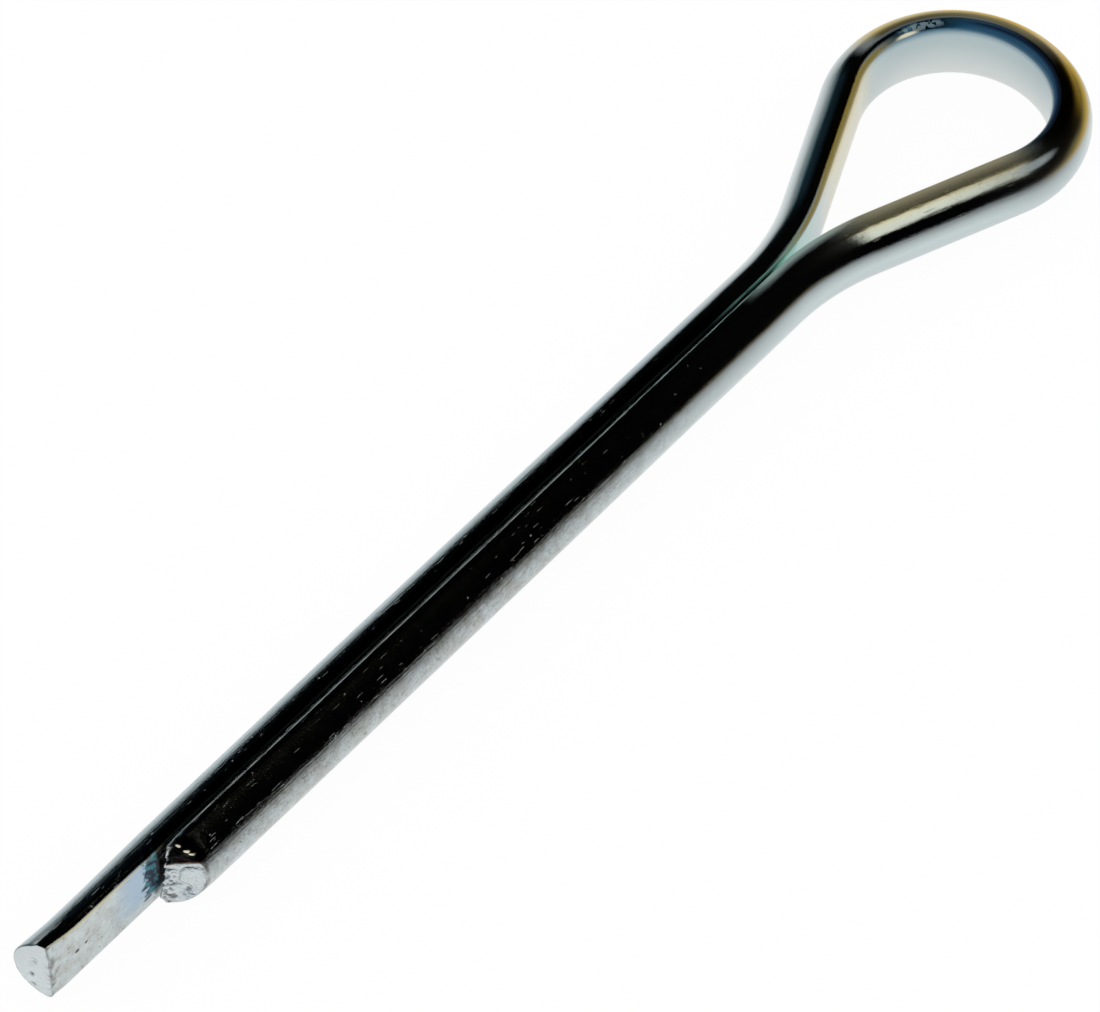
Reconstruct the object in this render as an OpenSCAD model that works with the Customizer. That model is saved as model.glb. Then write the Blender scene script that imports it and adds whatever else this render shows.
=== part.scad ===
// Cotter pin: one half-round wire bent double, so that its flat lies against itself in the shank
// and lines the inside of the eye. The shank runs along +X from the crotch, where the origin is
// on the shank's axis, and the eye lies level on the -X side.

/* [Wire] */
// Width of the half-round wire, which is also the diameter of the shank across both legs
wire_w = 2.87; // [2.2:0.01:4]
// Rounding of the wire's two long edges, where its flat meets its round side
edge_r = 0.22; // [0.05:0.01:0.32]

/* [Legs] */
// Length of the short leg, from the crotch to its sheared end
short_leg_l = 31.75; // [16:0.25:64]
// How far the long leg reaches past the short one
prong_lead = 5.35; // [2.5:0.05:12]
// Gap between the two flats in the shank
split_gap = 0.08; // [0.04:0.01:0.3]

/* [Eye] */
// Angle at which the short leg's neck leaves the shank
short_spread_angle = 22.3; // [18:0.1:28]
// Angle at which the long leg's neck leaves the shank
long_spread_angle = 24; // [18:0.1:28]
// Radius of the flat where each neck bends away from the shank
neck_r = 10.5; // [6:0.1:14]
// Straight length of the short leg's neck, between its bend and the shoulder of the eye
short_neck_l = 6.05; // [4:0.05:9]
// Inner radius of the eye's shoulder on the short leg's side
short_shoulder_r = 3.05; // [2.2:0.05:4.5]
// Angle through which the wire turns over the short leg's shoulder
short_shoulder_angle = 92; // [70:1:110]
// Inner radius of the flatter crown between the two shoulders
crown_r = 3.65; // [2.5:0.05:6]
// Angle through which the wire turns over the crown
crown_angle = 50; // [30:1:70]
// Inner radius of the eye's shoulder on the long leg's side
long_shoulder_r = 3.5; // [2.2:0.05:4.5]
// How far bending draws the wire in all round its section, a faint step at each crotch
bend_draw = 0.01; // [0.008:0.001:0.02]

/* [Sheared ends] */
// Slant of the short leg's end, which runs back from the flat to the round side
short_end_angle = 26; // [0:1:40]
// Slant of the long leg's end, which runs forward from the flat to the round side
long_end_angle = 12; // [0:1:30]
// How far back from each end the shears rolled the upper edge over
roll_l = 0.9; // [0.3:0.05:1.8]
// How deep the upper edge is rolled over at the very end
roll_h = 0.3; // [0.1:0.05:0.6]

/* [Hidden] */
$fn = 96;

// Fineness of the bent stretches: steps round the section, and along the wire in degrees of turn
round_steps = 20;
edge_steps = 4;
step_angle = 5;

wire_r = wire_w / 2;
// Each flat stands off the shank's axis by half the split, so both round sides share one cylinder
flat_y = split_gap / 2;
// Centre of the rounded edge, which touches both the flat and the round side
edge_y = flat_y + edge_r;
edge_z = sqrt(pow(wire_r - edge_r, 2) - pow(edge_y, 2));
edge_angle = atan2(edge_z, edge_y);
roll_angle = atan2(roll_h, roll_l);

// Headings of the wire round the eye, counted from -X towards the short leg's side
crown_from = short_spread_angle - short_shoulder_angle;
crown_to = crown_from - crown_angle;
return_heading = -180 - long_spread_angle;

// Step along a straight, and along an arc. An arc turns inwards, or outwards if r is negative.
function along(heading, l) = l * [-cos(heading), sin(heading)];
function sweep(r, from, to) = r * [sin(to) - sin(from), cos(to) - cos(from)];

// The path of the flat's middle line, from the short leg's crotch round the eye
short_crotch = [0, flat_y];
short_neck_from = short_crotch + sweep(-neck_r, 0, short_spread_angle);
short_neck_to = short_neck_from + along(short_spread_angle, short_neck_l);
short_shoulder_to = short_neck_to + sweep(short_shoulder_r, short_spread_angle, crown_from);
long_shoulder_from = short_shoulder_to + sweep(crown_r, crown_from, crown_to);
long_neck_from = long_shoulder_from + sweep(long_shoulder_r, crown_to, return_heading);
// The long leg's neck is as long as it takes to come back to its own side of the split
long_bend = sweep(-neck_r, return_heading, -180);
long_neck_l = -(long_neck_from[1] + long_bend[1] + flat_y) / sin(return_heading);
long_neck_to = long_neck_from + along(return_heading, long_neck_l);
long_crotch = long_neck_to + long_bend;

// Stations of an arc that starts at p, each with its place and heading
function arc(p, r, from, to) =
    let (steps = ceil(abs(to - from) / step_angle))
    [for (i = [0:steps])
        let (heading = from + (to - from) * i / steps)
        [p + sweep(r, from, heading), heading]];

stations = concat(
    arc(short_crotch, -neck_r, 0, short_spread_angle),
    arc(short_neck_to, short_shoulder_r, short_spread_angle, crown_from),
    [for (s = arc(short_shoulder_to, crown_r, crown_from, crown_to)) if (s[1] < crown_from) s],
    [for (s = arc(long_shoulder_from, long_shoulder_r, crown_to, return_heading))
        if (s[1] < crown_to) s],
    arc(long_neck_to, -neck_r, return_heading, -180)
);

// Outline of the drawn-in section: distance out from the path, and height
bent_wire_r = wire_r - bend_draw;
bent_edge_r = edge_r - bend_draw;
function rounded_edge(side) = [
    for (i = [0:edge_steps])
        let (a = edge_angle + (180 - edge_angle) * i / edge_steps)
        [edge_r + bent_edge_r * cos(a), side * (edge_z + bent_edge_r * sin(a))]
];
round_side = [
    for (i = [1:round_steps - 1])
        let (a = edge_angle * (2 * i / round_steps - 1))
        [bent_wire_r * cos(a) - flat_y, bent_wire_r * sin(a)]
];
outline = concat([for (i = [edge_steps:-1:0]) rounded_edge(-1)[i]], round_side, rounded_edge(1));

// The full half-round section with true arcs, about the shank's axis and with its flat facing it
module wire_section() {
    reach = 2 * wire_w;
    intersection() {
        circle(r = wire_r);
        polygon([
            [flat_y, -flat_y * tan(edge_angle)],
            [reach * cos(edge_angle), -reach * sin(edge_angle)],
            [reach, 0],
            [reach * cos(edge_angle), reach * sin(edge_angle)],
            [flat_y, flat_y * tan(edge_angle)],
        ]);
    }
    translate([flat_y, -edge_z])
        square([edge_r, 2 * edge_z]);
    for (side = [-1, 1])
        translate([edge_y, side * edge_z])
            circle(r = edge_r);
}

// One leg of the shank, on the +Y side of the split, sheared off and rolled over at its end
module leg(from, to, slant) {
    reach = 4 * wire_w;
    difference() {
        translate([from, 0, 0])
            rotate([90, 0, 90])
                linear_extrude(height = to - from + wire_w)
                    wire_section();
        translate([to, flat_y, 0])
            rotate(slant)
                translate([0, -reach / 2, -reach / 2])
                    cube(reach);
        translate([to, 0, wire_r - roll_h])
            rotate([0, roll_angle, 0])
                translate([-reach / 2, -reach / 2, 0])
                    cube(reach);
    }
}

// The necks, shoulders and crown: the section swept through the stations, closed at both crotches
module eye() {
    n = len(outline);
    last = (len(stations) - 1) * n;
    points = [
        for (s = stations, o = outline)
            [s[0][0] + o[0] * sin(s[1]), s[0][1] + o[0] * cos(s[1]), o[1]]
    ];
    walls = [
        for (k = [0:n:last - 1], i = [0:n - 1])
            let (j = (i + 1) % n)
            [k + i, k + j, k + n + j, k + n + i]
    ];
    polyhedron(
        points = points,
        faces = concat([[for (i = [n - 1:-1:0]) i]], walls, [[for (i = [0:n - 1]) last + i]])
    );
}

module cotter_pin() {
    color("silver") {
        leg(short_crotch[0], short_leg_l, short_end_angle);
        mirror([0, 1, 0])
            leg(long_crotch[0], short_leg_l + prong_lead, -long_end_angle);
        eye();
    }
}

cotter_pin();
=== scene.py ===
"""A cotter pin of half-round wire, bright zinc plated, lying on a white table."""

import math

import bmesh
import bpy
from mathutils import Matrix, Quaternion, Vector, noise


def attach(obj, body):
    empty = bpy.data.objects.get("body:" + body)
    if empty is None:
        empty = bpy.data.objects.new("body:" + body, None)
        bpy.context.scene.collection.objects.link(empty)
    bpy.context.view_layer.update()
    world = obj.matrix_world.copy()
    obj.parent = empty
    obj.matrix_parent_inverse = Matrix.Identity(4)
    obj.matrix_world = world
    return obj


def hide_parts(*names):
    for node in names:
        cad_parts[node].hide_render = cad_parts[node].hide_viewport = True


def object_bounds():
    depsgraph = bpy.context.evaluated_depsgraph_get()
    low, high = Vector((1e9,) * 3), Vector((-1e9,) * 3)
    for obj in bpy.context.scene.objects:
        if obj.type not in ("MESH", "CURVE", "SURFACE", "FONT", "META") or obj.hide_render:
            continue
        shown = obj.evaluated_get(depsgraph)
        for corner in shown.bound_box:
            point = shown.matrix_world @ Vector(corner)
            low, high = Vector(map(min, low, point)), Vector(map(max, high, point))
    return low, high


MM = 0.001

# The wire
WIRE_R = 1.435 * MM
FLAT_Y = 0.04 * MM
EDGE_R = 0.25 * MM

# The legs
SHORT_LEG_L = 31.75 * MM
LONG_LEG_TIP = 37.1 * MM
SHORT_END_ANGLE = math.radians(26)
LONG_END_ANGLE = math.radians(12)
# How far each leg bows out at its middle, and how far above or below level it lies
LEGS_SPRUNG = 0.03 * MM
LEGS_UNEVEN = 0.04 * MM

# The eye
SHORT_SPREAD = math.radians(22.3)
LONG_SPREAD = math.radians(24)
NECK_R = 10.5 * MM
SHORT_NECK_L = 6.05 * MM
SHORT_SHOULDER_R = 3.05 * MM
SHORT_SHOULDER_ANGLE = math.radians(92)
CROWN_R = 3.65 * MM
CROWN_ANGLE = math.radians(50)
LONG_SHOULDER_R = 3.5 * MM
# Bending swells the flat towards the hole: by how much, over what half width and past what lead
SWELL_H = 0.13 * MM
SWELL_HALF = 1.32 * MM
SWELL_LEAD = 5 * MM

# How far back from an end the blade slants and moves the wire
SHEAR_L = 1.6 * MM
# The short leg's end: its lean, its foot kicked out and its upper edge rolled over
SHORT_END_LEAN = 0.12
FOOT_KICK = 0.16 * MM
SHORT_ROLL_L = 0.85 * MM
SHORT_ROLL_H = 0.2 * MM
SHORT_SQUEEZE = 0.05 * MM
# The oval on its torn face: middle across, half sizes, the line round it and how far it stands up
OVAL_Y = 0.92 * MM
OVAL_HALF_Y = 0.4 * MM
OVAL_HALF_Z = 0.48 * MM
OVAL_RIM = 1.1
OVAL_H = 0.05 * MM
# How far the ragged burrs stick out, along the wire and towards the other leg
BURR_OUT = 0.12 * MM
BURR_ASIDE = 0.05 * MM
FOOT_BURR = 0.07 * MM

# The long leg's end: pinched a little way back, with its upper corner drawn up and over
PINCH = 0.1 * MM
PINCH_L = 6 * MM
CORNER_TOP = 1.43 * MM
CORNER_RISE = 0.24
CORNER_OVER = 0.07 * MM
# The dents in its face: across, up, radius and depth in millimetres
LONG_END_DENTS = (
    (0.74, -0.4, 0.115, 0.1),
    (0.72, -0.95, 0.115, 0.09),
    (0.62, 0.4, 0.24, 0.09),
    (0.72, 0.14, 0.16, 0.05),
)

# How finely the wire is drawn
EDGE_STEPS = 7
ROUND_STEPS = 42
FLAT_STEPS = 18
LEG_STEP = 0.15 * MM
EYE_STEP = 0.14 * MM
END_STUB = 0.12 * MM
END_CELL = 0.055 * MM
END_CELLS_ACROSS = 26
END_RIM = 0.05 * MM
# Points nearer than this lie on the same plane, or are one point
SAME_PLANE = 0.001 * MM
SAME_POINT = 0.0005 * MM

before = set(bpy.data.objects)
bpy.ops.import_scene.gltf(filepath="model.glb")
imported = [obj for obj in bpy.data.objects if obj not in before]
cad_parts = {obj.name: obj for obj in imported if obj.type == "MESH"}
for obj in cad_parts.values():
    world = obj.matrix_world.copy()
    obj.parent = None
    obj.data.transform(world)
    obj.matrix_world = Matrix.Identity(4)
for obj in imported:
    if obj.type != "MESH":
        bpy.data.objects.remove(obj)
cad_low, cad_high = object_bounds()


# ---------------------------------------------------------------- the bending pattern


def bend_to(start, r, heading, to):
    """The end of a bend of radius r that turns the wire from one heading to another."""
    turned = Vector((math.sin(to) - math.sin(heading), math.cos(to) - math.cos(heading), 0))
    return start + r * turned


def straight_to(start, heading, length):
    """The end of a straight stretch of wire."""
    return start + length * Vector((-math.cos(heading), math.sin(heading), 0))


def bending_pattern():
    """The stretches of the eye in order, each as its start, length, radius and two headings."""
    crown_from = SHORT_SPREAD - SHORT_SHOULDER_ANGLE
    crown_to = crown_from - CROWN_ANGLE
    back = -math.pi - LONG_SPREAD
    stretches = []

    def bend(start, r, heading, to):
        stretches.append((start, abs(r * (to - heading)), r, heading, to))
        return bend_to(start, r, heading, to)

    def straight(start, heading, length):
        stretches.append((start, length, None, heading, heading))
        return straight_to(start, heading, length)

    place = bend(Vector((0, FLAT_Y, 0)), -NECK_R, 0, SHORT_SPREAD)
    place = straight(place, SHORT_SPREAD, SHORT_NECK_L)
    place = bend(place, SHORT_SHOULDER_R, SHORT_SPREAD, crown_from)
    place = bend(place, CROWN_R, crown_from, crown_to)
    place = bend(place, LONG_SHOULDER_R, crown_to, back)
    neck = bend_to(Vector(), -NECK_R, back, -math.pi)
    place = straight(place, back, -(place.y + neck.y + FLAT_Y) / math.sin(back))
    bend(place, -NECK_R, back, -math.pi)
    return stretches


PATTERN = bending_pattern()
EYE_L = sum(length for _, length, _, _, _ in PATTERN)
LONG_CROTCH = bend_to(PATTERN[-1][0], -NECK_R, PATTERN[-1][3], -math.pi)
LONG_LEG_L = LONG_LEG_TIP - LONG_CROTCH.x
LONG_END = -EYE_L - LONG_LEG_L


def bent_place(along):
    """Where the flat's middle line runs and heads, a distance along from the short leg's crotch."""
    if along <= 0:
        return Vector((-along, FLAT_Y, 0)), 0.0
    for start, length, r, heading, to in PATTERN:
        if along <= length:
            if r is None:
                return straight_to(start, heading, along), heading
            now = heading + (to - heading) * along / length
            return bend_to(start, r, heading, now), now
        along -= length
    return LONG_CROTCH + Vector((along, 0, 0)), -math.pi


# ---------------------------------------------------------------- the wire


def finish_mesh(bm, name):
    """An object in the scene, at the origin, of a finished mesh."""
    mesh = bpy.data.meshes.new(name)
    bm.to_mesh(mesh)
    bm.free()
    piece = bpy.data.objects.new(name, mesh)
    bpy.context.scene.collection.objects.link(piece)
    return piece


def on_plane(part, x):
    """Whether an edge or face lies in the plane square to the wire at x."""
    return all(abs(v.co.x - x) < SAME_PLANE for v in part.verts)


def draw_section(bm, x):
    """The half-round section with rounded edges, as a ring of edges square to the wire."""
    edge_y = FLAT_Y + EDGE_R
    edge_z = math.sqrt((WIRE_R - EDGE_R) ** 2 - edge_y**2)
    edge_angle = math.atan2(edge_z, edge_y)
    first = bmesh.ops.create_vert(bm, co=(x, FLAT_Y, edge_z))["vert"][0]
    corner = first
    for centre, angle, steps in (
        ((x, edge_y, edge_z), math.pi - edge_angle, EDGE_STEPS),
        ((x, 0, 0), 2 * edge_angle, ROUND_STEPS),
        ((x, edge_y, -edge_z), math.pi - edge_angle, EDGE_STEPS),
    ):
        turned = bmesh.ops.spin(
            bm, geom=[corner], cent=centre, axis=(-1, 0, 0), dvec=(0, 0, 0), angle=angle, steps=steps
        )
        corner = next(v for v in turned["geom_last"] if isinstance(v, bmesh.types.BMVert))
    flat = bm.edges.new((corner, first))
    bmesh.ops.subdivide_edges(bm, edges=[flat], cuts=FLAT_STEPS - 1)


def draw_out(bm, x, length, steps):
    """Draws the wire's open ring at x out along X in equal steps."""
    ring = [e for e in bm.edges if len(e.link_faces) < 2 and on_plane(e, x)]
    ring += dict.fromkeys(v for e in ring for v in e.verts)
    # A spin by no angle carries the ring straight out
    bmesh.ops.spin(
        bm, geom=ring, cent=(0, 0, 0), axis=(0, 0, 1), dvec=(length, 0, 0), angle=0, steps=1
    )
    if steps > 1:
        full = 0.99 * abs(length)
        lengthwise = [e for e in bm.edges if abs(e.verts[0].co.x - e.verts[1].co.x) > full]
        bmesh.ops.subdivide_edges(bm, edges=lengthwise, cuts=steps - 1)


def draw_end(bm, x, back, sheared):
    """A stub of wire with its face at x closed, its rim eased and the face cut into small squares."""
    draw_section(bm, x + back)
    draw_out(bm, x + back, -back, 1)
    rim = [e for e in bm.edges if on_plane(e, x)]
    face = bmesh.ops.contextual_create(bm, geom=rim)["faces"]
    rim = [e for f in face for e in f.edges]
    bmesh.ops.bevel(
        bm,
        geom=rim,
        offset=END_RIM,
        offset_type="OFFSET",
        segments=3,
        profile=0.5,
        affect="EDGES",
        material=-1,
    )
    end = [f for f in bm.faces if on_plane(f, x)]
    # The rows across start at the flat, and the rows up are centred on the wire
    for normal, cuts, first in (
        ((0, 1, 0), END_CELLS_ACROSS, 0.7),
        ((0, 0, 1), 2 * END_CELLS_ACROSS, 0.5 - END_CELLS_ACROSS),
    ):
        for i in range(cuts):
            geom = dict.fromkeys(g for f in end for g in (*f.verts, *f.edges, f))
            place = Vector((x, 0, 0)) + (i + first) * END_CELL * Vector(normal)
            cut = bmesh.ops.bisect_plane(
                bm, geom=list(geom), plane_co=place, plane_no=normal, dist=1e-7
            )
            end = [g for g in cut["geom"] if isinstance(g, bmesh.types.BMFace)]
    for f in end:
        for v in f.verts:
            v[sheared] = 1.0


def draw_wire(bm, sheared):
    """The straight wire, from the short leg's end back along -X to the long leg's end."""
    draw_end(bm, SHORT_LEG_L, -END_STUB, sheared)
    draw_end(bm, LONG_END, END_STUB, sheared)
    for start, end, step in (
        (SHORT_LEG_L - END_STUB, 0, LEG_STEP),
        (0, -EYE_L, EYE_STEP),
        (-EYE_L, LONG_END + END_STUB, LEG_STEP),
    ):
        draw_out(bm, start, end - start, math.ceil((start - end) / step))
    bmesh.ops.remove_doubles(bm, verts=bm.verts, dist=SAME_POINT)
    bmesh.ops.recalc_face_normals(bm, faces=bm.faces)


def ease(amount):
    """A smooth step from 0 to 1."""
    amount = min(1.0, max(0.0, amount))
    return amount * amount * (3 - 2 * amount)


def lumps(y, z, seed, size):
    """Smooth lumps of one size, from about -1 to 1."""
    return noise.noise(Vector((y / size, z / size, seed)))


def tear_face(co, y, z):
    """The short leg's torn face: the last of the wire to break stands up as an oval."""
    oval = math.hypot((y - OVAL_Y) / OVAL_HALF_Y, z / OVAL_HALF_Z) + 0.34 * lumps(y, z, 5, 0.34 * MM)
    rough = 0.6 + 0.4 * ease(oval - 0.6)
    coarse = lumps(y, z, 3, 0.42 * MM)
    co.x += OVAL_H * (ease((OVAL_RIM - oval) / 0.16) + rough * coarse)
    co.x += 0.022 * MM * rough * lumps(y, z, 13, 0.16 * MM)
    broken = max(0.0, min(1.0, 0.45 + 1.4 * lumps(y, z, 6, 0.3 * MM)))
    line = ease(1 - abs(oval - OVAL_RIM) / 0.09) * broken
    return max(line, 0.7 * ease((-coarse - 0.42) / 0.1))


def shear_short_end(co, back, face):
    """Slants the short leg's end back towards its round side and tears it; gives back its grime."""
    near = ease(1 - back / SHEAR_L)
    y = co.y - FLAT_Y
    z = co.z
    co.x -= near * (y * math.tan(SHORT_END_ANGLE) + SHORT_END_LEAN * z)
    co.x += FOOT_KICK * near * ease(-(z + 0.3 * MM) / MM)
    rolled = max(0.0, 1 - back / SHORT_ROLL_L) ** 2
    high = (z + WIRE_R) / (2 * WIRE_R)
    co.z -= SHORT_ROLL_H * rolled * high**2
    co.y -= SHORT_SQUEEZE * rolled * y / WIRE_R
    # The blade rolls the top corner over before the wire breaks
    corner = max(0.0, z - 0.4 * y - 0.44 * MM) * ease(y / (0.12 * MM))
    co.x -= 0.2 * corner * max(0.0, 1 - back / (1.2 * MM)) ** 2
    grime = tear_face(co, y, z) if face else 0.0
    # A ragged burr along the flat and the lower rim
    edge = ease(1 - y / (0.3 * MM)) * ease(1 - back / (0.3 * MM))
    ragged = lumps(z, y, 9, 0.24 * MM) + 0.7 * lumps(z, y, 19, 0.1 * MM)
    co.x += BURR_OUT * edge * ragged
    co.y += BURR_ASIDE * edge * lumps(z, 0, 29, 0.15 * MM)
    pitted = ease(1 - abs(y - 0.24 * MM) / (0.24 * MM)) * ease((0.7 * MM - z) / (0.3 * MM))
    pitted *= ease(-4 * lumps(z, y, 49, 0.12 * MM) - 0.1)
    foot = ease(1 - (z + WIRE_R) / (0.4 * MM)) * ease(1 - back / (0.4 * MM))
    notches = lumps(y, 0, 39, 0.17 * MM)
    co.x += FOOT_BURR * foot * notches
    return max(grime, edge * ease(-ragged * 2.2 - 0.25), pitted, foot * ease(-2.5 * notches))


def shear_long_end(co, back, face):
    """Slants the long leg's end forward towards its round side and dents it; gives back its grime."""
    y = co.y - FLAT_Y
    z = co.z
    co.x -= ease(1 - back / SHEAR_L) * y * math.tan(LONG_END_ANGLE)
    # The blade squeezes the end thin a little way back, and draws its upper corner up sharp
    pinch = ease(back / (1.3 * MM)) * ease((PINCH_L - back) / (4 * MM))
    co.y -= PINCH * pinch * max(0.0, y / WIRE_R) ** 2
    corner = ease((z - 0.5 * MM) / (0.65 * MM)) * ease(1 - (y - 0.25 * MM) / (0.4 * MM))
    room = min(MM, (CORNER_TOP - z) / 0.28)
    co.z += CORNER_RISE * corner * ease(1 - back / SHEAR_L) * room
    co.y += CORNER_OVER * corner * max(0.0, 1 - back / (1.5 * MM)) ** 2
    grime = 0.0
    if face:
        co.x -= MM * (0.03 * lumps(y, z, 21, 0.5 * MM) + 0.012 * lumps(y, z, 22, 0.16 * MM))
        for dent_y, dent_z, r, depth in LONG_END_DENTS:
            dent = ease(1 - math.hypot(y - dent_y * MM, z - dent_z * MM) / (r * MM))
            co.x += MM * depth * dent
            # Dirt stays in the small dents
            grime = max(grime, dent if r < 0.15 else 0.0)
    # Ripples along the edge between the flat and the face
    edge = ease(1 - y / (0.25 * MM)) * ease(1 - back / (0.7 * MM))
    ripple = lumps(z, co.x, 31, 0.22 * MM) + 0.5 * lumps(z, co.x, 32, 0.1 * MM)
    co.y += 0.05 * MM * edge * (0.6 + ripple)
    return max(grime, 0.7 * edge * ease(-2 * ripple))


def dress_wire(bm, sheared, grime):
    """The marks of drawing, bending and shearing, made on the straight wire."""
    for v in bm.verts:
        co = v.co.copy()
        x, y, z = co
        # Bending swells the flat towards the hole
        if -EYE_L < x < 0:
            bent = ease(-x / SWELL_LEAD) * ease((EYE_L + x) / SWELL_LEAD)
            high = max(0.0, 1 - 0.3 * (z / SWELL_HALF) ** 2 - 0.7 * (z / SWELL_HALF) ** 4)
            co.y -= SWELL_H * bent * high * max(0.0, 1 - (y - FLAT_Y) / WIRE_R) ** 2
        # Slow waves from the drawing, and smaller ones from the plating
        wave = noise.noise(Vector((x * 260, y * 700, z * 700)))
        fine = noise.noise(Vector((x * 1500, y * 2600, z * 2600 + 40)))
        out = Vector((0, y - 0.5 * WIRE_R, z)).normalized()
        co += out * MM * (0.008 * wave + 0.0025 * fine)
        on_face = v[sheared] > 0.5
        if x > SHORT_LEG_L - 3 * MM:
            v[grime] = shear_short_end(co, SHORT_LEG_L - x, on_face)
        if x < LONG_END + PINCH_L + 0.1 * MM:
            v[grime] = shear_long_end(co, x - LONG_END, on_face)
        # A dark line round the rim of each sheared end
        back = min(SHORT_LEG_L - x, x - LONG_END)
        if back < 0.06 * MM and not on_face:
            v[grime] = max(v[grime], 0.35 + 0.5 * noise.noise(Vector((0, y * 3000, z * 3000))))
        v.co = co


def bend_wire(bm):
    """Bends the straight wire into the pin: the short leg stays, and the rest goes round the eye."""
    for v in bm.verts:
        if v.co.x < 0:
            place, heading = bent_place(-v.co.x)
            out = Vector((math.sin(heading), math.cos(heading), 0))
            v.co = place + out * (v.co.y - FLAT_Y) + Vector((0, 0, v.co.z))


def settle_legs(bm):
    """Springs the legs slightly apart, with the short one a hair higher than the long one."""
    for v in bm.verts:
        if v.co.x > 0:
            side = 1 if v.co.y > 0 else -1
            along = v.co.x / SHORT_LEG_L
            v.co.y += side * LEGS_SPRUNG * math.sin(math.pi * min(1.0, along))
            v.co.z += side * LEGS_UNEVEN * ease(along * 4)


def make_pin():
    """The whole pin as one closed mesh, with each point's place on the straight wire kept on it."""
    bm = bmesh.new()
    straight = bm.verts.layers.float_vector.new("straight_wire")
    sheared = bm.verts.layers.float.new("sheared")
    grime = bm.verts.layers.float.new("grime")
    draw_wire(bm, sheared)
    for v in bm.verts:
        v[straight] = v.co / MM
    dress_wire(bm, sheared, grime)
    bend_wire(bm)
    settle_legs(bm)
    for f in bm.faces:
        f.smooth = True
    return finish_mesh(bm, "half_round_pin")


# ---------------------------------------------------------------- finishes

# Places along the straight wire in millimetres, counted from the short leg's crotch
SHORT_TIP = SHORT_LEG_L / MM
LONG_NECK_END = -EYE_L / MM
LONG_TIP = LONG_NECK_END - LONG_LEG_L / MM
BESIDE_SHORT_TIP = LONG_NECK_END - (SHORT_LEG_L - LONG_CROTCH.x) / MM

# Stretches of it, by their two soft ends: where each begins and where it is full
SHORT_NECK = ((2, 0), (-5.5, -2.5))
SHORT_SIDE = ((-2, -4.5), (-11.4, -9.4))
SHORT_SHOULDER = ((-6.5, -10), (-16, -12))
DARK_SHOULDER = ((-10.5, -12.5), (-18, -15.5))
BLUE_SHOULDER = ((-10.8, -12.4), (-19.5, -17.5))
CROWN = ((-6, -9), (LONG_NECK_END + 10, LONG_NECK_END + 13))
CROWN_TOP = ((-14.5, -17), (-22.6, -21.2))
LONG_SIDE = ((LONG_NECK_END + 11.5, LONG_NECK_END + 9.5), (LONG_NECK_END + 3.5, LONG_NECK_END + 6.5))
LONG_EDGE = ((LONG_NECK_END + 13, LONG_NECK_END + 11), (LONG_NECK_END, LONG_NECK_END + 3))
UNDER_SHORT_LEG = ((LONG_NECK_END - 1, LONG_NECK_END - 3), (BESIDE_SHORT_TIP - 0.2, BESIDE_SHORT_TIP))

# Tones of the plate
DULL_PLATE = (0.50, 0.53, 0.51, 1)
CLEAN_PLATE = (0.62, 0.69, 0.70, 1)
EYE_PLATE = (0.60, 0.68, 0.69, 1)
# Painted blue reflection, laid on the long leg's outer side
BLUE_REFLECTION_TINT = (0.46, 0.63, 0.70, 1)
FRESH_STEEL = (0.74, 0.80, 0.83, 1)
SPECK = (0.20, 0.18, 0.15, 1)
FLANK_PATCH_DARK = (0.22, 0.21, 0.17, 1)
GRAIN = (0.22, 0.23, 0.22, 1)
PIT = (0.10, 0.08, 0.06, 1)
RUST = (0.05, 0.035, 0.02, 1)
GRIME = (0.035, 0.03, 0.025, 1)
# Tones of the eye: painted reflections, and painted shade on the crown's flat
STRAW_REFLECTION = (0.72, 0.70, 0.50, 1)
DEEP_STRAW_REFLECTION = (0.62, 0.47, 0.13, 1)
OLIVE_REFLECTION_TINT = (0.66, 0.62, 0.42, 1)
CROWN_SHADE_ABOVE = (0.46, 0.56, 0.58, 1)
CROWN_LIGHT_BELOW = (0.79, 0.83, 0.81, 1)
BLUE_EDGE_REFLECTION = (0.025, 0.14, 0.25, 1)
CROTCH_GREEN_REFLECTION = (0.50, 0.76, 0.70, 1)
# Tones of the painted shade beside the short end, the short end's painted dark corner and roll, and
# the shaded edges
GAP_SHADE_RIM = (0.42, 0.55, 0.68, 1)
GAP_SHADE_NAVY = (0.004, 0.012, 0.05, 1)
GAP_SHADE_TEAL = (0.05, 0.27, 0.32, 1)
SHORT_END_SHADOW = (0.001, 0.001, 0.004, 1)
CORNER_BROWN = (0.14, 0.08, 0.05, 1)
PAINTED_DARK_CORNER = (0.003, 0.002, 0.002, 1)
PAINTED_DARK = (0.004, 0.004, 0.004, 1)
SHADED = (0.03, 0.035, 0.035, 1)
SHOULDER_PAINTED_SHADE = (0.006, 0.006, 0.01, 1)
# Tones of the highlights and reflections painted on the edges and ends
GOLD = (0.23, 0.18, 0.035, 1)
CROWN_GOLD_INSIDE = (0.05, 0.036, 0.0, 1)
CROWN_GOLD_OUTSIDE = (0.58, 0.43, 0.07, 1)
NAVY = (0.001, 0.008, 0.034, 1)
BLUE = (0.015, 0.09, 0.17, 1)
OLIVE_REFLECTION_SHEEN = (0.30, 0.26, 0.14, 1)
SPLIT_GREY = (0.20, 0.28, 0.26, 1)
NECK_GREY = (0.28, 0.36, 0.32, 1)
SHEEN_GREY = (0.28, 0.35, 0.36, 1)
SOFT_GLINT = (0.16, 0.20, 0.21, 1)
TIP_EDGE_HIGHLIGHT = (0.62, 0.57, 0.34, 1)
CREAM = (0.80, 0.77, 0.58, 1)
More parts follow.
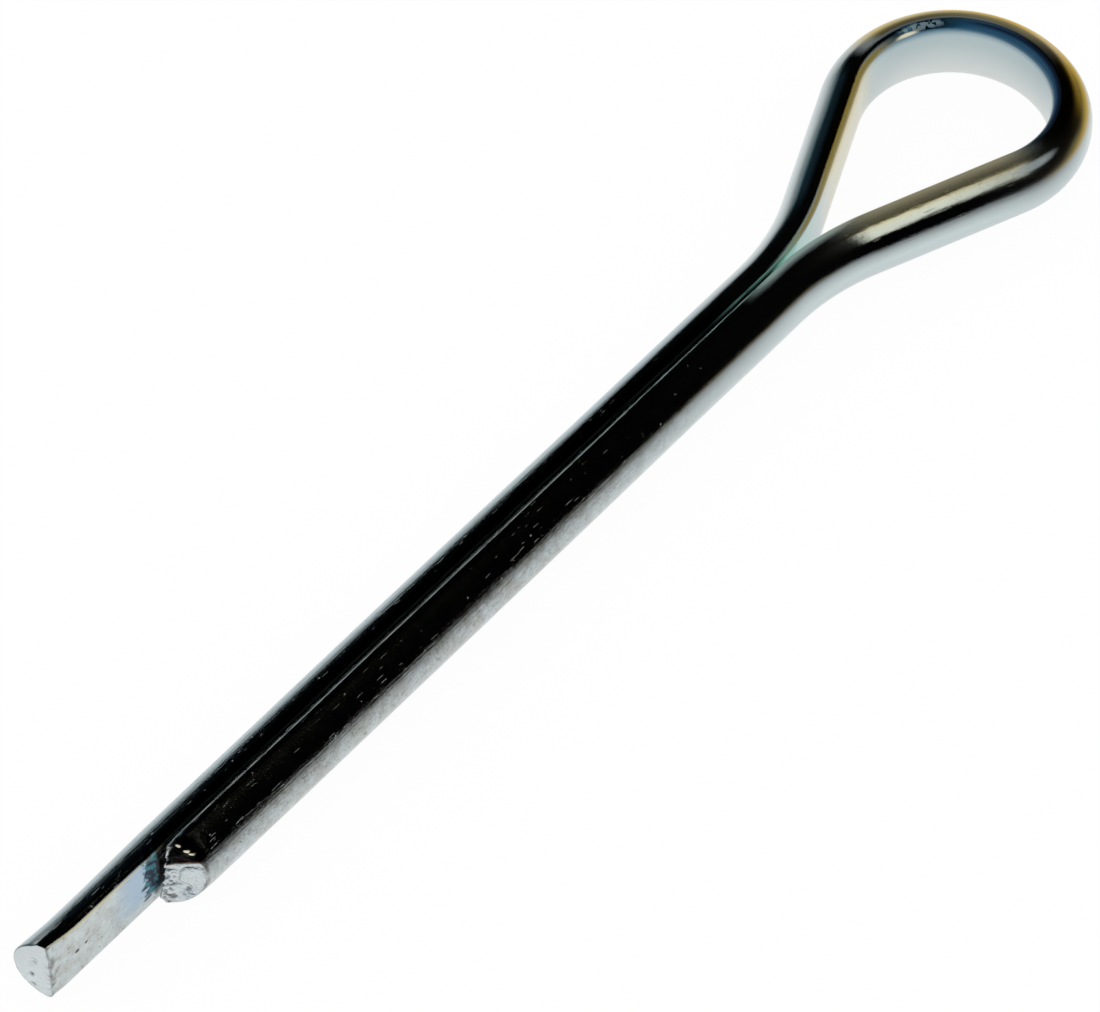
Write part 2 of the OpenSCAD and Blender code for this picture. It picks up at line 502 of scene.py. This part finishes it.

# Small marks on the straight wire, each by its middle and half sizes in millimetres: rust spots,
# painted glints, a painted dark patch and a painted sheen
RUST_SPOTS = (
    ((LONG_TIP + 1.25, 0.04, -0.01), (0.13, 0.3, 0.1)),
    ((LONG_TIP + 1.68, 0.04, 0.02), (0.09, 0.3, 0.07)),
    ((BESIDE_SHORT_TIP - 0.75, 0.04, -0.74), (0.26, 0.3, 0.07)),
)
SHORT_END_GLINTS = (
    ((SHORT_TIP, 0.34, 1.29), (0.2, 0.11, 0.08)),
    ((SHORT_TIP, 0.66, 1.18), (0.2, 0.13, 0.07)),
    ((SHORT_TIP, 0.83, 1.09), (0.2, 0.12, 0.06)),
)
PAINTED_DARK_ROLL = ((SHORT_TIP - 0.68, 0.7, 1.2), (0.34, 0.62, 0.5), 0.6)
CROWN_SHEEN = ((-19.85, 0.13, 1.32), (1.2, 0.2, 0.2), 0.6)
CROWN_GLINT = ((-20.5, 0.06, 1.2), (0.7, 0.16, 0.11), 0.7)
SHOULDER_GLINT = ((-10.5, 0.88, 1.13), (1.0, 0.2, 0.2), 1.0)


class Nodes:
    """Adds nodes to a material or world and joins their sockets."""

    def __init__(self, owner):
        owner.use_nodes = True
        self.tree = owner.node_tree
        self.tree.nodes.clear()

    def add(self, kind, inputs=None, **settings):
        """A new node with its settings made, and each input joined or set."""
        node = self.tree.nodes.new("ShaderNode" + kind)
        for name, value in settings.items():
            setattr(node, name, value)
        for name, value in (inputs or {}).items():
            if isinstance(value, bpy.types.NodeSocket):
                self.tree.links.new(value, node.inputs[name])
            else:
                node.inputs[name].default_value = value
        return node

    def math(self, operation, first, *others):
        """One operation carried through a row of values."""
        for other in others:
            first = self.add("Math", {0: first, 1: other}, operation=operation).outputs[0]
        return first

    def alone(self, operation, value):
        """One operation on a single value."""
        return self.add("Math", {0: value}, operation=operation).outputs[0]

    def times(self, *values):
        return self.math("MULTIPLY", *values)

    def plus(self, *values):
        return self.math("ADD", *values)

    def less(self, *values):
        return self.math("SUBTRACT", *values)

    def most(self, *values):
        return self.math("MAXIMUM", *values)

    def ramp(self, value, low, high, to_low=0.0, to_high=1.0):
        """A smooth step from one output to another as the value goes from low to high."""
        inputs = {
            "Value": value,
            "From Min": low,
            "From Max": high,
            "To Min": to_low,
            "To Max": to_high,
        }
        return self.add("MapRange", inputs, interpolation_type="SMOOTHSTEP").outputs["Result"]

    def between(self, value, ends):
        """1 between two soft ends, 0 outside."""
        return self.times(*(self.ramp(value, begins, full) for begins, full in ends))

    def tint(self, factor, a, b):
        """Colour a turned towards colour b."""
        return self.add("Mix", {0: factor, 6: a, 7: b}, data_type="RGBA").outputs[2]

    def scaled(self, colour, factor):
        """A colour made darker or lighter."""
        return self.add("VectorMath", {0: colour, 3: factor}, operation="SCALE").outputs[0]

    def noise(self, place, scale, detail=2.0, roughness=0.5):
        """Soft noise, mostly near a half."""
        inputs = {"Vector": place, "Scale": scale, "Detail": detail, "Roughness": roughness}
        return self.add("TexNoise", inputs).outputs["Fac"]

    def stretched(self, place, scale):
        """A place scaled along each axis by itself, which draws a pattern out along the wire."""
        return self.add("Mapping", {"Vector": place, "Scale": scale}).outputs[0]

    def spot(self, place, centre, size, soft=0.5):
        """1 within an egg of the given half sizes round a centre, 0 outside."""
        inputs = {"Vector": place, "Location": centre, "Scale": size}
        within = self.add("Mapping", inputs, vector_type="TEXTURE").outputs[0]
        away = self.add("VectorMath", {0: within}, operation="LENGTH").outputs["Value"]
        return self.ramp(away, 1, 1 - soft)


class PlateNodes(Nodes):
    """The plate's nodes, with each point's place on the straight wire in millimetres."""

    def __init__(self, material):
        super().__init__(material)
        self.place = self.add("Attribute", attribute_name="straight_wire").outputs["Vector"]
        self.sheared = self.add("Attribute", attribute_name="sheared").outputs["Fac"]
        self.grime = self.add("Attribute", attribute_name="grime").outputs["Fac"]
        self.along, self.across, self.up = self.add("SeparateXYZ", {0: self.place}).outputs
        # 1 on the legs near their ends, 0 round the eye
        short = self.ramp(self.along, 0, 16)
        self.leg = self.most(short, self.ramp(self.along, LONG_NECK_END, LONG_NECK_END - 16))
        self.on_flat = self.ramp(self.across, 0.5, 0.15)
        self.short_side = self.between(self.along, SHORT_SIDE)
        # A painted olive reflection along the short side's upper edge
        self.olive_reflection = self.times(self.ramp(self.up, 0.95, 1.2), self.short_side)
        self.mottle = self.noise(self.place, 1.7, 4.0, 0.6)
        self.bumps = self.noise(self.place, 9.0, 3.0, 0.6)
        # Small pits, in under half of the cells and on the legs only
        cells = self.add("TexVoronoi", {"Vector": self.place, "Scale": 2.6}).outputs
        some = self.ramp(self.add("SeparateColor", {0: cells["Color"]}).outputs[0], 0.55, 0.6)
        self.pit = self.times(self.ramp(cells["Distance"], 0.03, 0.1, 1.0, 0.0), some, self.leg)


def colour_plate(n):
    """The plate's colour: pale and faintly blue, mottled and darker in patches on the legs, with a
    painted blue reflection on the long leg's outer side.
    """
    colour = n.tint(n.ramp(n.mottle, 0.3, 0.7), DULL_PLATE, CLEAN_PLATE)
    specks = n.ramp(n.noise(n.place, 8.0, 2.0, 0.6), 0.56, 0.72)
    specks = n.times(specks, n.ramp(n.mottle, 0.4, 0.6, 1.0, 0.3))
    colour = n.tint(n.times(specks, 0.6), colour, SPECK)
    # Dark patches on the legs' flanks, most of all near the top
    flank = n.ramp(n.across, 0.95, 1.1)
    patches = n.ramp(n.noise(n.place, 2.3, 4.0, 0.7), 0.46, 0.66)
    darkened_flank = n.times(flank, patches, n.ramp(n.up, 0.1, 0.85, 0.3, 1.0))
    colour = n.tint(n.times(darkened_flank, 0.6), colour, FLANK_PATCH_DARK)
    grain = n.ramp(n.noise(n.place, 13.0, 2.0, 0.7), 0.5, 0.7)
    colour = n.tint(n.times(flank, grain, 0.45), colour, GRAIN)
    colour = n.tint(n.leg, EYE_PLATE, colour)
    colour = n.tint(n.times(n.sheared, 0.75), colour, FRESH_STEEL)
    # Painted blue reflection on the long leg's outer side, away from its sheared end
    long_leg = n.ramp(n.along, LONG_NECK_END - 1, LONG_NECK_END - 4)
    outer = n.times(long_leg, n.ramp(n.across, 0.5, 0.9), n.ramp(n.sheared, 0, 1, 1, 0))
    return n.tint(n.times(outer, 0.6), colour, BLUE_REFLECTION_TINT)


def paint_eye_reflections(n, colour):
    """Painted reflections on the eye: straw on the long side's flat, deeper towards the top, blue
    round the crown's upper edge and green in the crotch; the crown's flat is painted darker and bluer
    towards the top.
    """
    straw = n.times(n.on_flat, n.between(n.along, LONG_SIDE))
    colour = n.tint(straw, colour, STRAW_REFLECTION)
    colour = n.tint(n.times(straw, n.ramp(n.up, 0.7, 1.25)), colour, DEEP_STRAW_REFLECTION)
    crown = n.times(n.on_flat, n.between(n.along, CROWN))
    # Painted shade: the crown's flat is darker and bluer towards the top and lighter towards the
    # bottom
    colour = n.tint(crown, colour, n.tint(n.ramp(n.up, 1.1, -1.4), CROWN_SHADE_ABOVE, CROWN_LIGHT_BELOW))
    colour = n.tint(n.times(crown, n.ramp(n.up, 0.78, 1.26)), colour, BLUE_EDGE_REFLECTION)
    short = n.ramp(n.along, -5, -1)
    deep = n.most(short, n.ramp(n.along, LONG_NECK_END + 5, LONG_NECK_END + 1))
    return n.tint(n.times(deep, n.on_flat, n.less(1.0, n.leg)), colour, CROTCH_GREEN_REFLECTION)


def shade_beside_short_end(n, colour):
    """Painted shade on the long leg's flat beside the short leg's end: a pale blue rim round a
    blotchy navy and teal core, and a painted black shadow right by the end.
    """
    edge = BESIDE_SHORT_TIP
    ragged = n.plus(n.along, n.times(n.less(n.noise(n.place, 3.0, 4.0, 0.7), 0.5), 1.3))
    stops = n.ramp(n.along, edge + 0.6, edge + 0.3)
    rim = n.times(n.ramp(ragged, edge - 2.6, edge - 1.3), stops, n.on_flat, n.ramp(n.up, -1.1, -0.3))
    colour = n.tint(rim, colour, GAP_SHADE_RIM)
    blotch = n.ramp(n.noise(n.place, 3.5, 3.0), 0.42, 0.6)
    teal = n.tint(blotch, GAP_SHADE_NAVY, GAP_SHADE_TEAL)
    # Painted shadow of the short leg's end, black right beside it
    teal = n.tint(n.ramp(n.along, edge - 0.3, edge - 0.12), teal, SHORT_END_SHADOW)
    core = n.times(n.ramp(ragged, edge - 0.85, edge - 0.75), stops, n.on_flat)
    return n.tint(n.times(core, n.ramp(n.up, -0.78, -0.55)), colour, teal)


def mark_plate(n, colour):
    """Pits and rust, the short end's rolled corner painted dark, a painted dark patch on its roll,
    painted shade on the edges that lie in shade and the painted olive reflection.
    """
    colour = n.tint(n.times(n.pit, 0.8), colour, PIT)
    # The corner is painted black, a painted dark reflection, with a brown line under it
    rolled = n.less(n.up, n.times(n.across, 0.4))
    corner = n.times(n.ramp(n.along, 31.2, 31.55), n.ramp(n.across, 0.1, 0.15))
    colour = n.tint(n.times(corner, n.ramp(rolled, 0.26, 0.36)), colour, CORNER_BROWN)
    colour = n.tint(n.times(corner, n.ramp(rolled, 0.34, 0.42)), colour, PAINTED_DARK_CORNER)
    # A painted dark patch on the roll, which hides a reflection of the lamp there
    colour = n.tint(n.times(n.spot(n.place, *PAINTED_DARK_ROLL), 0.95), colour, PAINTED_DARK)
    # The long leg's upper corner hides in the short leg's shade
    hidden = n.times(n.ramp(n.up, 1.13, 1.2), n.ramp(n.across, 0.5, 0.35))
    colour = n.tint(n.times(hidden, n.between(n.along, UNDER_SHORT_LEG)), colour, SHADED)
    # Painted shade: the short shoulder's upper edge is painted near black
    shoulder = n.times(n.ramp(n.up, 1.0, 1.2), n.ramp(n.across, 0.85, 0.6))
    shoulder = n.times(shoulder, n.between(n.along, DARK_SHOULDER), 0.9)
    colour = n.tint(shoulder, colour, SHOULDER_PAINTED_SHADE)
    # Painted olive reflection on the short side's upper edge
    colour = n.tint(n.times(n.olive_reflection, n.ramp(n.across, 0.9, 0.6)), colour, OLIVE_REFLECTION_TINT)
    for centre, size in RUST_SPOTS:
        colour = n.tint(n.spot(n.place, centre, size), colour, RUST)
    return colour


def lay_painted_reflections(n, colour):
    """Painted highlights and reflections on the edges and ends, dull over the metal: gives back the
    colour and where they lie.
    """
    rounding = n.times(n.ramp(n.up, 1.0, 1.16), n.ramp(n.across, 0.9, 0.7))
    crown_top = n.times(n.between(n.along, CROWN_TOP), n.ramp(n.up, 0.75, 1.0))
    crown_gold = n.tint(n.ramp(n.across, 0.45, 1.0), CROWN_GOLD_INSIDE, CROWN_GOLD_OUTSIDE)
    blue_side = n.times(rounding, n.between(n.along, BLUE_SHOULDER))
    blue = n.tint(n.ramp(n.across, 0.16, 0.02), NAVY, BLUE)
    long_edge = n.times(rounding, n.between(n.along, LONG_EDGE))
    patchy = n.noise(n.stretched(n.place, (1.4, 9, 9)), 1.0, 3.0, 0.7)
    # A painted highlight along the split between the legs
    split = n.times(rounding, n.ramp(n.across, 0.2, 0.12), n.ramp(patchy, 0.35, 0.65, 0.15, 1.0))
    split = n.times(split, n.ramp(n.along, 0.5, 2), 0.9)
    neck = n.times(rounding, n.ramp(n.across, 0.5, 0.08), n.between(n.along, SHORT_NECK), 0.8)
    specks = n.ramp(n.noise(n.place, 7.0, 1.0), 0.5, 0.62)
    crown_sheen = n.times(n.spot(n.place, *CROWN_SHEEN), n.less(1.0, specks), 0.65)
    tip_edge_highlight = n.times(n.ramp(n.across, 0.1, 0.06), n.ramp(n.up, 1.13, 1.16))
    tip_edge_highlight = n.times(tip_edge_highlight, n.ramp(n.along, LONG_TIP + 6, LONG_TIP + 3), 0.7)
    # Each pair: where a painted highlight, glint or reflection lies, and its tone
    painted_reflections = [
        (n.times(crown_top, n.ramp(n.across, 0.22, 0.4), 0.95), crown_gold),
        (n.times(blue_side, n.ramp(n.across, 0.3, 0.14)), blue),
        (n.times(long_edge, n.ramp(n.across, 0.17, 0.06)), GOLD),
        (split, SPLIT_GREY),
        (neck, NECK_GREY),
        (n.times(n.olive_reflection, n.ramp(n.across, 0.7, 0.15), 0.42), OLIVE_REFLECTION_SHEEN),
        (crown_sheen, SHEEN_GREY),
        (n.spot(n.place, *CROWN_GLINT), CREAM),
        (n.times(n.spot(n.place, *SHOULDER_GLINT), 0.8), SOFT_GLINT),
        (tip_edge_highlight, TIP_EDGE_HIGHLIGHT),
    ]
    painted_reflections += [(n.spot(n.place, centre, size), CREAM) for centre, size in SHORT_END_GLINTS]
    painted_reflection = 0.0
    for where, tone in painted_reflections:
        colour = n.tint(where, colour, tone)
        painted_reflection = n.most(painted_reflection, where)
    return colour, painted_reflection


def raise_relief(n):
    """The drawn grain, scratches, bumps and pits, weaker round the eye."""
    drawn = n.noise(n.stretched(n.place, (0.35, 8, 8)), 1.0, 5.0, 0.65)
    fine = n.noise(n.stretched(n.place, (1.0, 26, 26)), 1.0, 2.0)
    scratch = n.ramp(n.noise(n.stretched(n.place, (1.6, 14, 14)), 1.0, 1.0), 0.7, 0.76)
    height = n.plus(n.times(drawn, 0.012), n.times(fine, 0.002), n.times(n.bumps, 0.005))
    height = n.less(height, n.times(scratch, 0.006))
    strength = n.plus(n.ramp(n.leg, 0, 1, 0.12, 1.0), n.times(n.short_side, 0.2))
    height = n.less(n.times(height, strength), n.times(n.pit, 0.03))
    height = n.plus(height, n.times(n.bumps, n.sheared, 0.03))
    return n.add("Bump", {"Height": height, "Strength": 1.0, "Distance": MM}).outputs[0]


def roughen(n, painted_reflection):
    """Roughness: duller on the sheared ends, the painted highlights and reflections, the shoulder and
    the painted olive reflection.
    """
    rough = n.plus(
        n.ramp(n.leg, 0, 1, 0.13, 0.075),
        n.times(n.ramp(n.mottle, 0.3, 0.8, -0.02, 0.04), n.leg),
        n.times(n.sheared, 0.15),
        n.times(painted_reflection, 0.1),
        n.times(n.olive_reflection, n.ramp(n.across, 0.55, 0.35), 0.2),
        n.times(n.between(n.along, SHORT_SHOULDER), 0.1),
    )
    return n.less(rough, n.times(n.short_side, n.ramp(n.across, 0.6, 0.8), 0.05))


def zinc_plate():
    """Bright zinc plate over drawn steel, with what bending, shearing and handling did to it, and
    painted highlights, reflections and shade.
    """
    material = bpy.data.materials.new("zinc_plate")
    n = PlateNodes(material)
    colour = paint_eye_reflections(n, colour_plate(n))
    colour = mark_plate(n, shade_beside_short_end(n, colour))
    colour, painted_reflection = lay_painted_reflections(n, colour)
    colour = n.tint(n.grime, colour, GRIME)
    inputs = {
        "Base Color": colour,
        "Metallic": n.less(1.0, painted_reflection),
        "Roughness": roughen(n, painted_reflection),
        "Normal": raise_relief(n),
    }
    shader = n.add("BsdfPrincipled", inputs)
    n.add("OutputMaterial", {"Surface": shader.outputs[0]})
    return material


pin = make_pin()
pin.data.materials.append(zinc_plate())
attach(pin, "root")
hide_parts("cotter_pin")


# ---------------------------------------------------------------- the table and the light

# The table's and the canopy's radius in metres, and how far the canopy stands clear of the level
TABLE_R = 4
CANOPY_R = 3
CANOPY_CLEAR = math.radians(0.15)

# How much of its white the table gives of itself, by the kind of ray that meets it
WHITE_TO_CAMERA = 0.96
WHITE_TO_METAL = 0.6
# How white it is to the light that falls on it
WHITE_PAPER = 0.95
# The white the metal sees, and a painted gold tint on the table beyond the eye, which only the metal
# sees
PLAIN_WHITE = (1, 1, 1, 1)
PAINTED_GOLD_WHITE = (1.0, 0.62, 0.12, 1)

# The canopy's soft lights: azimuth, elevation, half width, half height, soft part, colour
GLOWS = (
    (-152, 12, 16, 34, 1.0, (1.0, 0.90, 0.55)),
    (-170, 0, 16, 24, 1.0, (0.50, 0.27, 0.03)),
    (174, 0, 20, 24, 1.0, (0.32, 0.18, 0.02)),
    (140, 0, 18, 12, 1.0, (0.20, 0.17, 0.09)),
    (-98, 0, 21, 14, 1.0, (0.32, 0.45, 0.50)),
    (-88, 24, 27, 32, 1.0, (0.045, 0.115, 0.16)),
    (-50, 25, 50, 40, 1.0, (0.17, 0.36, 0.46)),
    (15, 12, 40, 26, 1.0, (0.10, 0.26, 0.36)),
    (115, 72, 16, 16, 0.8, (0.10, 0.10, 0.07)),
)
CANOPY_DARK = (0.001, 0.001, 0.001, 1)

# The strip lamp: azimuth and elevation in degrees, distance and sides in metres, watts
STRIP_AZIMUTH = 98
STRIP_ELEVATION = 48
STRIP_AWAY = 0.8
STRIP_W = 0.11
STRIP_L = 0.40
STRIP_TURN = math.radians(-25)
STRIP_POWER = 0.144
STRIP_COLOUR = (1, 0.94, 0.78)


def show_only_to_reflections(piece):
    """Hides a piece from all but the metal's reflections."""
    piece.visible_camera = False
    piece.visible_diffuse = False
    piece.visible_transmission = False
    piece.visible_volume_scatter = False
    piece.visible_shadow = False


def direction(azimuth, elevation):
    """The way towards an azimuth and elevation in degrees."""
    a, e = math.radians(azimuth), math.radians(elevation)
    return Vector((math.cos(a) * math.cos(e), math.sin(a) * math.cos(e), math.sin(e)))


def white_table():
    """White to the eye; in the metal a painted pool of light, which fades away from the pin's outline
    and is painted gold beyond the eye.
    """
    material = bpy.data.materials.new("white_table")
    n = Nodes(material)
    rays = n.add("LightPath").outputs
    x, y, _ = n.add("SeparateXYZ", {0: n.add("TexCoord").outputs["Object"]}).outputs
    # How far a point lies beyond the pin's ends and to the side of it
    beyond = n.less(x, n.add("Clamp", {0: x, 1: cad_low.x, 2: cad_high.x}).outputs[0])
    half = n.ramp(x, 2 * MM, -8 * MM, 1.5 * MM, 4.8 * MM)
    aside = n.most(n.less(n.alone("ABSOLUTE", y), half), 0.0)
    far = n.plus(n.math("POWER", beyond, 2.0), n.math("POWER", aside, 2.0))
    far = n.alone("SQRT", far)
    # The painted pool of light fades faster on the short leg's side
    reach = n.ramp(y, -2 * MM, 2 * MM, 15 * MM, 6.5 * MM)
    reach = n.times(reach, n.ramp(beyond, -4 * MM, 0, 2.0, 1.0))
    # A painted pool of light, brightest at the pin's outline
    painted_pool = n.math("DIVIDE", 1.0, n.plus(1.0, n.math("DIVIDE", far, reach)))
    painted_gold_tint = n.times(n.ramp(beyond, 0, -5 * MM), n.ramp(y, -14 * MM, -4 * MM))
    in_metal = n.scaled(n.tint(painted_gold_tint, PLAIN_WHITE, PAINTED_GOLD_WHITE), painted_pool)
    lit = n.tint(rays["Is Glossy Ray"], PLAIN_WHITE, in_metal)
    seen = n.plus(
        n.times(rays["Is Camera Ray"], WHITE_TO_CAMERA),
        n.times(rays["Is Glossy Ray"], WHITE_TO_METAL),
        n.times(rays["Is Transmission Ray"], WHITE_TO_METAL),
    )
    paper = n.add("BsdfDiffuse", {"Color": n.scaled(lit, WHITE_PAPER)})
    white = n.add("Emission", {"Color": lit, "Strength": 1.0})
    mixed = n.add("MixShader", {0: seen, 1: paper.outputs[0], 2: white.outputs[0]})
    n.add("OutputMaterial", {"Surface": mixed.outputs[0]})
    return material


def make_table(height):
    """A white table top, which keeps the pin's soft shadow."""
    bm = bmesh.new()
    bmesh.ops.create_circle(bm, cap_ends=True, radius=TABLE_R, segments=96)
    bmesh.ops.translate(bm, verts=bm.verts, vec=(0, 0, height))
    table = finish_mesh(bm, "table")
    table.data.materials.append(white_table())
    return table


def dark_canopy():
    """Near black, with its soft lights added one over another."""
    material = bpy.data.materials.new("dark_canopy")
    n = Nodes(material)
    place = n.add("TexCoord").outputs["Object"]
    outward = n.add("VectorMath", {0: place}, operation="NORMALIZE").outputs[0]
    colour = CANOPY_DARK
    for azimuth, elevation, wide, high, soft, glow in GLOWS:
        inputs = {
            "Vector": outward,
            "Location": direction(azimuth, elevation),
            "Rotation": (0, -math.radians(elevation), math.radians(azimuth)),
            "Scale": (1, math.sin(math.radians(wide)), math.sin(math.radians(high))),
        }
        within = n.add("Mapping", inputs, vector_type="TEXTURE").outputs[0]
        ball = n.add("TexGradient", {0: within}, gradient_type="SPHERICAL").outputs["Fac"]
        layers = {0: n.ramp(ball, 0, soft), 6: colour, 7: (*glow, 1)}
        colour = n.add("Mix", layers, data_type="RGBA", blend_type="ADD").outputs[2]
    light = n.add("Emission", {"Color": colour, "Strength": 1.0})
    n.add("OutputMaterial", {"Surface": light.outputs[0]})
    return material


def make_canopy():
    """A dark canopy over the table, which only the metal sees."""
    bm = bmesh.new()
    bmesh.ops.create_uvsphere(bm, u_segments=72, v_segments=36, radius=CANOPY_R)
    bottom = (0, 0, CANOPY_R * math.sin(CANOPY_CLEAR))
    geom = list(bm.verts) + list(bm.edges) + list(bm.faces)
    bmesh.ops.bisect_plane(bm, geom=geom, plane_co=bottom, plane_no=(0, 0, -1), clear_outer=True)
    canopy = finish_mesh(bm, "canopy")
    canopy.data.materials.append(dark_canopy())
    show_only_to_reflections(canopy)
    return canopy


def make_strip_light():
    """A narrow warm lamp high on one side."""
    lamp = bpy.data.lights.new("strip_light", "AREA")
    lamp.shape = "RECTANGLE"
    lamp.size = STRIP_W
    lamp.size_y = STRIP_L
    lamp.energy = STRIP_POWER
    lamp.color = STRIP_COLOUR
    strip = bpy.data.objects.new("strip_light", lamp)
    towards = direction(STRIP_AZIMUTH, STRIP_ELEVATION)
    strip.location = towards * STRIP_AWAY
    turn = towards.to_track_quat("Z", "Y") @ Quaternion((0, 0, 1), STRIP_TURN)
    strip.rotation_euler = turn.to_euler()
    bpy.context.scene.collection.objects.link(strip)


def light_room():
    """A plain white room, at a level where a colour renders about as it is written."""
    world = bpy.data.worlds.new("white_room")
    bpy.context.scene.world = world
    n = Nodes(world)
    room = n.add("Background", {"Color": PLAIN_WHITE, "Strength": 1.0})
    n.add("OutputWorld", {"Surface": room.outputs[0]})


table = make_table(cad_low.z)
canopy = make_canopy()
make_strip_light()
light_room()


# ---------------------------------------------------------------- the camera

# Its heading, drop and roll in degrees, and how far it stands right of, above and behind the crotch
CAMERA_TURN = (130.507, 51.68, -0.895)
CAMERA_RIGHT = -7.723 * MM
CAMERA_UP = -7.399 * MM
CAMERA_BACK = 232.27 * MM
SENSOR_MM = 36
LENS_MM = 218.45


def place_camera():
    """Looks down along the pin from past its tips, on the short leg's side, from close by."""
    heading, drop, roll = (math.radians(a) for a in CAMERA_TURN)
    level = Vector((math.cos(heading), math.sin(heading), 0))
    ahead = Vector((-math.sin(heading), math.cos(heading), 0))
    forward = ahead * math.cos(drop) - Vector((0, 0, math.sin(drop)))
    upright = level.cross(forward)
    right = level * math.cos(roll) + upright * math.sin(roll)
    up = upright * math.cos(roll) - level * math.sin(roll)
    turn = Matrix((right, up, -forward)).transposed().to_4x4()
    place = right * CAMERA_RIGHT + up * CAMERA_UP - forward * CAMERA_BACK
    lens = bpy.data.cameras.new("camera")
    lens.sensor_width = SENSOR_MM
    lens.sensor_fit = "HORIZONTAL"
    lens.lens = LENS_MM
    lens.clip_start = 0.01
    lens.clip_end = 50
    camera = bpy.data.objects.new("camera", lens)
    camera.matrix_world = Matrix.Translation(place) @ turn
    bpy.context.scene.collection.objects.link(camera)
    bpy.context.scene.camera = camera


place_camera()
bpy.context.scene.view_settings.view_transform = "Standard"
